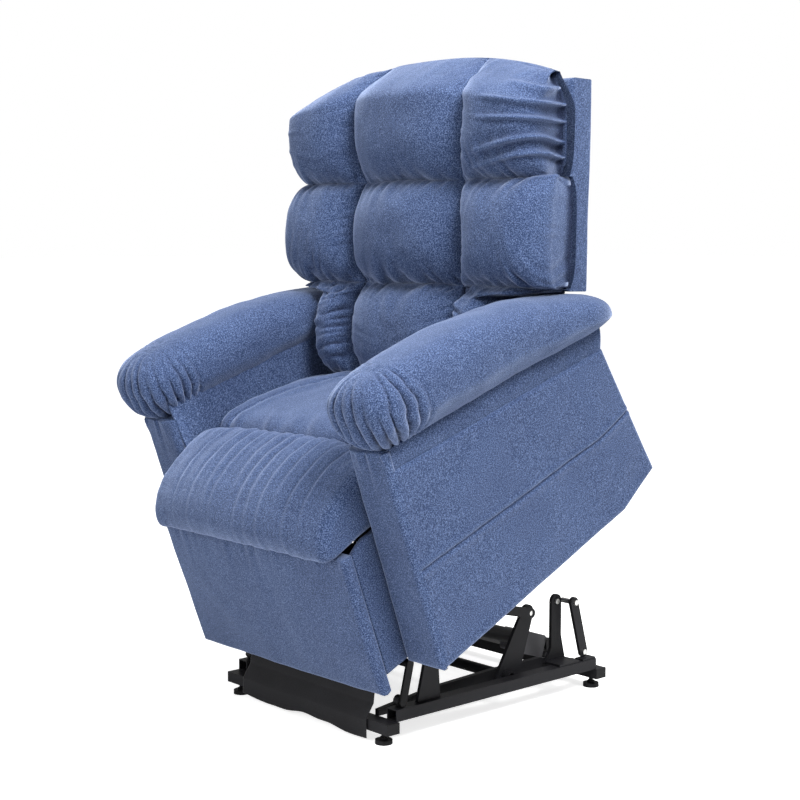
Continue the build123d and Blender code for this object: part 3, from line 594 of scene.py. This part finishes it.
def arm_front(side):
    """The narrow padded front of an arm."""
    rows, columns = 130, 44
    up = np.linspace(0, 1, rows)[:, None] * np.ones((1, columns))
    across = np.linspace(0, 1, columns)[None, :] * np.ones((rows, 1))
    x = ARM_FRONT_INNER + across * ARM_FRONT_WIDTH
    height = up * ARM_FRONT_HEIGHT
    lean = up * ARM_FRONT_LEAN
    edge = np.minimum(ARM_FRONT_WIDTH * np.minimum(across, 1 - across), up * 0.45 + 0.002)
    place = np.stack([x * side, height, lean], axis=-1)
    forward = 0.006 - edge_roll(edge, 0.013)
    forward = forward + 0.0016 * noise(place, 0.09, 11) + 0.0008 * noise(place, 0.03, 12)
    fan = (x - 0.352) / (0.30 + 1.6 * np.clip(0.47 - height, 0, 1))
    pleat = 1 - 2 * np.abs(noise(np.stack([fan, 0 * x, 0 * x], axis=-1), 0.034, 13))
    forward = forward + 0.0036 * pleat * np.exp(-(ARM_FRONT_HEIGHT - height) / 0.035)
    front = np.stack([side * x, lean - forward, height], axis=-1)
    back = np.stack([side * x, lean + 0.013, height], axis=-1)
    return sided(side, front, back)


for side, name in ((1, "left"), (-1, "right")):
    points, faces = arm_front(side)
    piece = new_object(name + "_arm_front_upholstery", points, faces, FABRIC)
    soft(piece, "chair", name + "_arm_front", fill=0.9)


# ---- Arm rolls ----
ROLL_TOP = [
    (0.015, 0.600), (0.060, 0.611), (0.155, 0.616), (0.333, 0.596),
    (0.500, 0.556), (0.667, 0.490), (0.740, 0.440),
]
ROLL_LOW = [(0.015, 0.476), (0.060, 0.462), (0.335, 0.433), (0.640, 0.402), (0.740, 0.392)]
ROLL_FRONT_Y = 0.020
ROLL_REAR_Y = 0.738
ROLL_CAP = 0.078        # how far back its rounded front end reaches
ROLL_CENTRE = 0.370
ROLL_HALF = 0.090
NECK = (0.362, 0.118)   # (x, y) where the front's pleats meet


def arm_roll(side):
    """The padded roll on top of an arm, with pleats gathered under its front end."""
    rows, columns = 220, 150
    t = np.linspace(0, 1, rows)
    ease = np.where(t < 0.25, 0.25 * (1 - np.cos(t / 0.25 * math.pi / 2)), t)
    y = ROLL_FRONT_Y + (ROLL_REAR_Y - ROLL_FRONT_Y) * ease
    top = np.interp(y, *np.array(ROLL_TOP).T)
    low = np.interp(y, *np.array(ROLL_LOW).T)
    kernel = np.ones(15) / 15
    top = np.convolve(np.pad(top, 7, mode="edge"), kernel, mode="valid")
    low = np.convolve(np.pad(low, 7, mode="edge"), kernel, mode="valid")
    front_cap = np.clip((ROLL_FRONT_Y + ROLL_CAP - y) / ROLL_CAP, 0, 1)
    rear_cap = np.clip((y - ROLL_REAR_Y + 0.035) / 0.035, 0, 1)
    wide_cap = np.clip((y - ROLL_REAR_Y + 0.105) / 0.105, 0, 1)
    close = (1 - front_cap ** 2.9) ** (1 / 2.9) * (1 - rear_cap ** 2.3) ** (1 / 2.3)
    close = np.maximum(close, 0.02)[:, None]
    narrow = (1 - 0.45 * wide_cap ** 2.2)[:, None]
    angle = np.linspace(0, 2 * math.pi, columns, endpoint=False)[None, :]
    cosine = np.cos(angle)
    sine = np.sin(angle)
    power = 2 / 2.5
    wide = np.sign(cosine) * np.abs(cosine) ** power
    tall = np.sign(sine) * np.abs(sine) ** power
    middle = ((top + low) / 2)[:, None] + 0.0 * angle
    half_tall = ((top - low) / 2)[:, None]
    sag = 1 - 0.22 * smooth(-tall, 0.2, 1.0)
    x = ROLL_CENTRE + ROLL_HALF * wide * close * sag * narrow - 0.040 * (1 - narrow)
    z = middle + half_tall * tall * close
    yy = y[:, None] + 0.0 * angle
    points = np.stack([side * x, yy, z], axis=-1)
    outward = np.stack([side * wide * half_tall, 0 * x, tall * ROLL_HALF + 0 * x], axis=-1)
    outward = outward / np.linalg.norm(outward, axis=-1, keepdims=True)
    frontness = smooth(-(yy - 0.085), 0.0, 0.055)[..., None]
    outward = outward * (1 - 0.75 * frontness) + np.array([0, -1, 0]) * frontness
    outward = outward / np.linalg.norm(outward, axis=-1, keepdims=True)
    bearing = np.arctan2(x - NECK[0], NECK[1] - yy)
    above = np.clip(z - 0.470 - 0.35 * np.clip(yy - 0.05, 0, 1), 0, 1)
    wander = 0.9 * noise(points, 0.06, 21) + 0.5 * noise(points, 0.025, 25)
    folds = np.abs(np.sin(bearing * 11.5 + wander)) ** 0.6
    fold_reach = 0.092 * (1 + 0.40 * noise(np.stack([bearing, 0 * x, 0 * x], axis=-1), 0.25, 26))
    fade = np.exp(-(above / fold_reach) ** 1.8) * smooth(-(yy - 0.175), 0.0, 0.07)
    lift = 0.0190 * (folds - 0.66) * fade - 0.004 * fade
    lift = lift + 0.0022 * noise(points, 0.075, 22) + 0.0010 * noise(points, 0.03, 23)
    lengthwise = np.stack([points[..., 0], points[..., 1] * 0.25, points[..., 2]], axis=-1)
    lift = lift + 0.0016 * noise(lengthwise, 0.035, 24) * smooth(yy, 0.1, 0.2)
    points = points + outward * lift[..., None]
    rings = chair_place(points)
    return ring_tube(rings if side < 0 else rings[:, ::-1])


for side, name in ((1, "left"), (-1, "right")):
    points, faces = arm_roll(side)
    piece = new_object(name + "_arm_roll_upholstery", points, faces, FABRIC)
    soft(piece, "chair", name + "_arm_roll", fill=0.75)


# ---- Seat ----
SEAT_HALF = 0.2975
CAP_SHARE = 0.55  # how large the ring inside each flat end is


def loft_pad(outline, centre, half, rows, columns, round_end, shape):
    """A pad swept across the chair: a closed side-view outline that rounds in at each end.

    shape(x, place, share) gives how far each point moves outwards, with share from 0 to 1 round the outline.
    """
    outline = np.asarray(outline, float)
    closed = np.vstack([outline, outline[:1]])
    steps = np.concatenate([[0], np.cumsum(np.linalg.norm(np.diff(closed, axis=0), axis=1))])
    share = np.linspace(0, 1, columns, endpoint=False)
    ring = np.stack([np.interp(share * steps[-1], steps, closed[:, i]) for i in range(2)], axis=-1)
    kernel = np.ones(7) / 7
    for i in range(2):
        ring[:, i] = np.convolve(np.pad(ring[:, i], 3, mode="wrap"), kernel, mode="valid")
    tangent = np.roll(ring, -1, axis=0) - np.roll(ring, 1, axis=0)
    tangent = tangent / np.linalg.norm(tangent, axis=-1, keepdims=True)
    normal = np.stack([tangent[:, 1], -tangent[:, 0]], axis=-1)
    if np.mean(np.sum(normal * (ring - np.asarray(centre)), axis=-1)) < 0:
        normal = -normal
    turned = np.linspace(-math.pi / 2, math.pi / 2, rows)
    x_line = half * np.sign(turned) * (1 - (1 - np.abs(np.sin(turned))) ** 1.4)
    over = np.clip((np.abs(x_line) - (half - round_end)) / round_end, 0, 1)
    inset = round_end * (1 - np.sqrt(np.clip(1 - over ** 2, 0, 1)))
    x = x_line[:, None] + 0 * share[None, :]
    place = ring[None] + 0 * x[..., None]
    out = shape(x, place, share[None, :] + 0 * x)
    place = place + normal[None] * out[..., None]
    inward = np.asarray(centre) - place
    inward = inward / np.linalg.norm(inward, axis=-1, keepdims=True)
    place = place + inward * inset[:, None, None]
    points = np.concatenate([x[..., None], place], axis=-1)
    caps = points[[0, -1]].copy()
    caps[..., 1:] = np.asarray(centre) + (caps[..., 1:] - np.asarray(centre)) * CAP_SHARE
    return np.concatenate([caps[:1], points, caps[1:]], axis=0)


FRONT_PAD = [
    (0.148, 0.330), (0.146, 0.385), (0.134, 0.403), (0.110, 0.413), (0.060, 0.410),
    (0.010, 0.397), (-0.034, 0.378), (-0.064, 0.354), (-0.084, 0.326), (-0.091, 0.304),
    (-0.089, 0.288), (-0.078, 0.281), (-0.040, 0.283), (0.120, 0.289),
]
PAD_CREASES = [  # (x at the crest, sideways bend, length)
    (-0.20, 0.020, 0.26), (-0.135, 0.012, 0.30), (-0.100, 0.030, 0.24), (-0.062, 0.018, 0.28),
    (-0.018, 0.034, 0.20), (0.022, 0.020, 0.34), (0.052, 0.026, 0.30), (0.095, 0.022, 0.34),
    (0.130, 0.030, 0.22), (0.175, 0.024, 0.30), (0.215, 0.030, 0.26),
]


def front_pad_shape(x, place, share):
    """Crown, crest seam, lengthwise creases and waves of the front pad."""
    y = place[..., 0]
    z = place[..., 1]
    top = smooth(y, -0.088, -0.02) * smooth(z, 0.30, 0.33)
    out = 0.016 * (1 - (np.abs(x) / SEAT_HALF) ** 2.2) * smooth(z, 0.285, 0.34)
    out = out - 0.013 * (1 - (x / SEAT_HALF) ** 2) * smooth(-z, -0.289, -0.279)
    crest = 0.138 + 0.045 * (np.abs(x) / 0.29) ** 4
    spot = np.stack([x, y, z], axis=-1)
    out = out + 0.0030 * noise(spot, 0.12, 71) + 0.0012 * noise(spot, 0.045, 72)
    for at, bend, length in PAD_CREASES:
        line = at + bend * ((0.14 - y) / 0.2) ** 2 - 0.030 * (0.14 - y) / 0.2
        fade = smooth(y, 0.135 - length, 0.10) * smooth(-y, -0.145, -0.128)
        out = out - 0.0032 * fade * hump(x - line, 0.0050) + 0.0022 * fade * hump(x - line - 0.011, 0.008)
    pleat = np.stack([x, y * 0.12, z * 0.12], axis=-1)
    out = out + 0.0013 * noise(pleat, 0.012, 74) * smooth(y, -0.07, 0.12) * top
    out = out + 0.0016 * noise(pleat, 0.017, 75) * np.exp(-np.abs(z - 0.285) / 0.02)
    return out - 0.010 * smooth(y, crest - 0.014, crest + 0.010)


pad = loft_pad(FRONT_PAD, (0.030, 0.345), SEAT_HALF, 200, 230, 0.026, front_pad_shape)
points, faces = ring_tube(chair_place(pad))
piece = new_object("front_pad_upholstery", points, faces, FABRIC)
soft(piece, "chair", "seat_front_pad", fill=0.7)

SEAT_PAD = [
    (0.148, 0.300), (0.148, 0.380), (0.156, 0.400), (0.180, 0.408), (0.240, 0.407),
    (0.310, 0.400), (0.380, 0.388), (0.430, 0.372), (0.470, 0.352), (0.490, 0.336),
    (0.500, 0.300), (0.490, 0.292), (0.160, 0.292),
]


def seat_shape(x, place, share):
    """Crown, curved inset seam and waves of the seat."""
    y = place[..., 0]
    z = place[..., 1]
    spot = np.stack([x, y, z], axis=-1)
    on_top = smooth(z, 0.33, 0.35)
    out = 0.014 * (1 - (np.abs(x) / SEAT_HALF) ** 2.4) * on_top
    inset = 0.255 - 0.125 * np.clip((y - 0.17) / 0.26, 0, 1) ** 1.3
    away = np.abs(x) - inset
    out = out - 0.0060 * hump(away, 0.0042) * on_top + 0.0090 * hump(away - 0.036, 0.030) * on_top
    out = out + 0.0040 * hump(away + 0.020, 0.018) * on_top
    out = out + 0.0025 * noise(spot, 0.10, 83) + 0.0010 * noise(spot, 0.035, 84)
    ray = np.stack([x * 0.9 + 0.5 * (y - 0.2), y * 0.15, 0 * x], axis=-1)
    out = out + 0.0022 * noise(ray, 0.020, 85) * np.exp(-np.abs(y - 0.15) / 0.06) * on_top
    pinch = np.stack([y + 0.35 * away, away * 0.2, np.sign(x)], axis=-1)
    return out + 0.0012 * noise(pinch, 0.012, 86) * np.exp(-np.abs(away) / 0.02) * on_top


pad = loft_pad(SEAT_PAD, (0.320, 0.335), SEAT_HALF, 170, 200, 0.024, seat_shape)
points, faces = ring_tube(chair_place(pad))
piece = new_object("seat_upholstery", points, faces, FABRIC)
soft(piece, "chair", "seat_cushion", fill=0.7)


# ---- Cloth-covered boards ----
def covered_board(outline, x_low, x_high, seed, radius=0.004):
    """A board in the chair's side view wrapped in cloth: a flat closed outline with rounded edges."""
    outline = np.asarray(outline, float)
    closed = np.vstack([outline, outline[:1]])
    steps = np.concatenate([[0], np.cumsum(np.linalg.norm(np.diff(closed, axis=0), axis=1))])
    columns = 180
    share = np.linspace(0, steps[-1], columns, endpoint=False)
    ring = np.stack([np.interp(share, steps, closed[:, i]) for i in range(2)], axis=-1)
    centre = ring.mean(axis=0)
    reach = np.linalg.norm(ring - centre, axis=-1, keepdims=True)

    def shrunk(amount):
        """The outline drawn in by amount towards its middle."""
        return centre + (ring - centre) * (1 - amount / reach)

    face_steps = (0.25, 0.5, 0.75, 0.9)
    rings = [(x_low, centre + (shrunk(radius) - centre) * step) for step in face_steps]
    rings.append((x_low, shrunk(radius)))
    for angle in np.linspace(0, math.pi / 2, 5):
        rings.append((x_low + radius * (1 - math.cos(angle)), shrunk(radius * (1 - math.sin(angle)))))
    for angle in np.linspace(0, math.pi / 2, 5):
        rings.append((x_high - radius * (1 - math.sin(angle)), shrunk(radius * (1 - math.cos(angle)))))
    rings.extend((x_high, centre + (shrunk(radius) - centre) * step) for step in reversed(face_steps))
    points = np.array([np.column_stack([np.full(columns, x), place]) for x, place in rings])
    points[..., 0] = points[..., 0] + 0.0005 * noise(points, 0.05, seed)
    return points


BOX_SIDE = [(-0.057, 0.004), (0.640, 0.004), (0.660, 0.060), (0.640, 0.285), (0.004, 0.285), (-0.031, 0.272)]
BOX_INNER, BOX_OUTER = 0.2845, 0.2978
parts = []
for side in (1, -1):
    board = covered_board(BOX_SIDE, BOX_INNER, BOX_OUTER, 161)
    board[..., 0] = board[..., 0] * side
    parts.append(ring_tube(chair_place(board if side > 0 else board[::-1])))
BOX_REAR = [(0.646, 0.032), (0.659, 0.032), (0.659, 0.178), (0.646, 0.178)]
rear_board = covered_board(BOX_REAR, -0.280, 0.280, 162, 0.002)
parts.append(ring_tube(chair_place(rear_board)))
points, faces = join_parts(parts)
piece = new_object("seat_box_covering", points, faces, FABRIC)
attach(piece, "chair")
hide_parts("seat_box")

ARM_INSIDE = [
    (0.050, 0.020), (0.590, 0.020), (0.690, 0.060), (0.655, 0.395),
    (0.620, 0.440), (0.330, 0.560), (0.060, 0.560),
]
for side, name in ((1, "left"), (-1, "right")):
    board = covered_board(ARM_INSIDE, 0.2990, 0.3060, 163, 0.003)
    board[..., 0] = board[..., 0] * side
    points, faces = ring_tube(chair_place(board if side > 0 else board[::-1]))
    piece = new_object(name + "_arm_inside", points, faces, FABRIC)
    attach(piece, "chair")


# ---- Legrest ----
LEGREST_HALF = 0.308
LEGREST_DEPTH = 0.027  # the padded face and the board that its cover wraps


def legrest():
    """The padded face of the legrest, rolled at its edges."""
    rows, columns = 150, 240
    up = np.linspace(0, 1, rows)[:, None] * np.ones((1, columns))
    s = np.sin(np.linspace(-math.pi / 2, math.pi / 2, columns))[None, :] * np.ones((rows, 1))
    x = LEGREST_HALF * s
    z = -0.026 + up * 0.306
    y = -0.094 + up * 0.031
    edge = np.minimum.reduce([LEGREST_HALF - np.abs(x), up * 0.3, (1 - up) * 0.3 + 0.004])
    place = np.stack([x, up * 0.3, np.zeros_like(x)], axis=-1)
    forward = 0.008 * (1 - s ** 4) * np.sin(up * math.pi) ** 0.5 - edge_roll(edge, 0.012)
    forward = forward + 0.0018 * noise(place, 0.13, 91) + 0.0008 * noise(place, 0.045, 92)
    top_gather = noise(np.stack([x, up * 0.03, 0 * x], axis=-1), 0.017, 93)
    forward = forward + 0.0025 * top_gather * np.exp(-(1 - up) * 0.3 / 0.035)
    front = np.stack([x, y - forward, z], axis=-1)
    back = np.stack([x, y + LEGREST_DEPTH - edge_roll(edge, 0.006), z], axis=-1)
    return two_faced(chair_place(front), chair_place(back))


points, faces = legrest()
piece = new_object("legrest_upholstery", points, faces, FABRIC)
soft(piece, "legrest", "legrest_pad", "legrest_board", fill=0.9)


# ---- Back shell ----
def slab(low, high, radius, seed, place):
    """A padded rectangular slab between two corners, rounded at its edges."""
    low = np.array(low)
    high = np.array(high)
    rows, columns = 120, 160
    s = np.sin(np.linspace(-math.pi / 2, math.pi / 2, columns))[None, :] * np.ones((rows, 1))
    t = np.sin(np.linspace(-math.pi / 2, math.pi / 2, rows))[:, None] * np.ones((1, columns))
    centre = (low + high) / 2
    half = (high - low) / 2
    x = centre[0] + half[0] * s
    up = centre[2] + half[2] * t
    edge = np.minimum(half[0] - np.abs(x - centre[0]), half[2] - np.abs(up - centre[2]))
    spot = np.stack([x, up, np.zeros_like(x)], axis=-1)
    wave = 0.0020 * noise(spot, 0.15, seed) + 0.0008 * noise(spot, 0.05, seed + 1)
    depth = half[1] - edge_roll(edge, radius)
    front = np.stack([x, centre[1] - depth - wave, up], axis=-1)
    back = np.stack([x, centre[1] + depth + wave, up], axis=-1)
    return two_faced(place(front), place(back))


shell_top = slab((-0.380, -0.087, 0.309), (0.380, -0.017, 0.750), 0.012, 131, back_place)
shell_low = slab((-0.268, -0.040, 0.100), (0.268, -0.017, 0.312), 0.008, 137, back_place)
points, faces = join_parts([shell_top, shell_low])
piece = new_object("back_shell_upholstery", points, faces, FABRIC)
soft(piece, "back", "back_shell", fill=0.9)


# ---- Band under each roll ----
def arm_band(side):
    """The cloth band between the roll and the side panel."""
    low_line = [(0.050, 0.424), (0.672, 0.352)]
    high_line = [(0.050, 0.470), (0.335, 0.440), (0.640, 0.409), (0.690, 0.402)]
    grid = panel_grid(low_line, high_line, 30, 200)
    up = np.linspace(0, 1, 30)[:, None] * np.ones((1, 200))
    place = np.concatenate([grid, np.zeros(grid.shape[:2] + (1,))], axis=-1)
    out = 0.403 + 0.003 * np.sin(up * math.pi) + 0.0010 * noise(place, 0.03, 141)
    front = np.concatenate([side * out[..., None], grid], axis=-1)
    back = np.concatenate([side * np.full_like(out, 0.304)[..., None], grid], axis=-1)
    return sided(side, front, back)


points, faces = join_parts([arm_band(1), arm_band(-1)])
piece = new_object("arm_bands", points, faces, FABRIC)
soft(piece, "chair", "arm_top_boards", fill=0.9)


# ---- Front skirt ----
SKIRT_HALF = 0.212
SKIRT_LINE = [(-0.3368, 0.010), (-0.3362, 0.046), (-0.330, 0.056), (-0.316, 0.076), (-0.3095, 0.134)]


def skirt():
    """The black kick skirt, a thin cloth with a slightly wavy hem."""
    rows, columns = 60, 200
    line = np.array(SKIRT_LINE)
    steps = np.concatenate([[0], np.cumsum(np.linalg.norm(np.diff(line, axis=0), axis=1))])
    share = np.linspace(0, steps[-1], rows)
    y = np.interp(share, steps, line[:, 0])[:, None] + FLOOR_FEET_Y
    z = np.interp(share, steps, line[:, 1])[:, None]
    x = np.linspace(-SKIRT_HALF, SKIRT_HALF, columns)[None, :] * np.ones((rows, 1))
    hem = np.exp(-share[:, None] / 0.02)
    along = np.stack([x, share[:, None] + 0 * x, 0 * x], axis=-1)
    z = z + hem * (0.004 * np.sin(x * 21 + 1.0) + 0.002 * noise(along, 0.05, 151))
    y = y + hem * 0.0012 * np.sin(x * 34) + 0.0006 * noise(along, 0.06, 152)
    outer = np.stack([x, y, z], axis=-1)
    inner = np.stack([x, y + 0.0016, z], axis=-1)
    return two_faced(outer, inner), steps[-1]


(points, faces), skirt_height = skirt()
piece = new_object("front_skirt_cloth", points, faces, FINISHES["black_cloth"])
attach(piece, "base")
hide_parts("front_skirt")


# ---- Stage, light and camera ----
FLOOR_GLOW = 0.72  # how much the floor is lightened to the camera, so that it meets the white backdrop


def add_floor():
    """A plain pale floor that reaches far enough to meet the white backdrop."""
    size = 60.0
    mesh = bpy.data.meshes.new("floor")
    corners = [(-size, -size, 0), (size, -size, 0), (size, size, 0), (-size, size, 0)]
    mesh.from_pydata(corners, [], [(0, 1, 2, 3)])
    floor = bpy.data.objects.new("floor", mesh)
    bpy.context.scene.collection.objects.link(floor)
    material, nodes, links, shader = new_material("floor", 0.85)
    coordinates = nodes.new("ShaderNodeTexCoord").outputs["Object"]
    speck = noise_node(nodes, links, coordinates, 30.0, 3.0)
    tone = ramp_node(
        nodes, links, speck.outputs["Fac"],
        [(0.3, (0.80, 0.80, 0.80)), (0.7, (0.82, 0.82, 0.82))],
    )
    links.new(tone.outputs["Color"], shader.inputs["Base Color"])
    shader.inputs["Emission Color"].default_value = (1, 1, 1, 1)
    seen = nodes.new("ShaderNodeLightPath").outputs["Is Camera Ray"]
    glow = nodes.new("ShaderNodeMapRange")
    glow.inputs["To Min"].default_value = 0.0
    glow.inputs["To Max"].default_value = FLOOR_GLOW
    links.new(seen, glow.inputs["Value"])
    links.new(glow.outputs["Result"], shader.inputs["Emission Strength"])
    mesh.materials.append(material)


def add_light(name, place, target, size, power, colour=(1, 1, 1)):
    """A soft square light aimed at target."""
    light = bpy.data.lights.new(name, "AREA")
    light.size = size
    light.energy = power
    light.color = colour
    lamp = bpy.data.objects.new(name, light)
    bpy.context.scene.collection.objects.link(lamp)
    lamp.location = place
    aim(lamp, target)


def aim(item, target):
    """Point an object's -Z axis at target."""
    direction = Vector(target) - Vector(item.location)
    item.rotation_euler = direction.to_track_quat("-Z", "Y").to_euler()


add_floor()
add_light("key", (2.6, -0.6, 3.4), (0, 0, 0.9), 1.5, 250)
add_light("front", (0.3, -3.6, 1.8), (0, 0, 0.7), 1.8, 60)
add_light("top", (0.2, 0.0, 3.6), (0, 0, 0.5), 1.8, 95)
world = bpy.data.worlds.new("studio")
world.use_nodes = True
WORLD_FILL = 0.42  # the studio's soft fill; the backdrop itself shows pure white
backdrop = world.node_tree.nodes["Background"]
backdrop.inputs["Color"].default_value = (1, 1, 1, 1)
seen = world.node_tree.nodes.new("ShaderNodeLightPath").outputs["Is Camera Ray"]
strength = world.node_tree.nodes.new("ShaderNodeMapRange")
strength.inputs["To Min"].default_value = WORLD_FILL
strength.inputs["To Max"].default_value = 1.0
world.node_tree.links.new(seen, strength.inputs["Value"])
world.node_tree.links.new(strength.outputs["Result"], backdrop.inputs["Strength"])
bpy.context.scene.world = world
bpy.context.scene.view_settings.view_transform = "Standard"

CAMERA_AZIMUTH = math.radians(48.16)
CAMERA_PITCH = math.radians(5.855)
camera_data = bpy.data.cameras.new("camera")
camera_data.lens = 72.7
camera_data.sensor_width = 36.0
camera = bpy.data.objects.new("camera", camera_data)
bpy.context.scene.collection.objects.link(camera)
camera.location = (2.658, -2.434 + FLOOR_FEET_Y, 1.034)
camera.rotation_euler = (math.pi / 2 - CAMERA_PITCH, 0, CAMERA_AZIMUTH)
bpy.context.scene.camera = camera
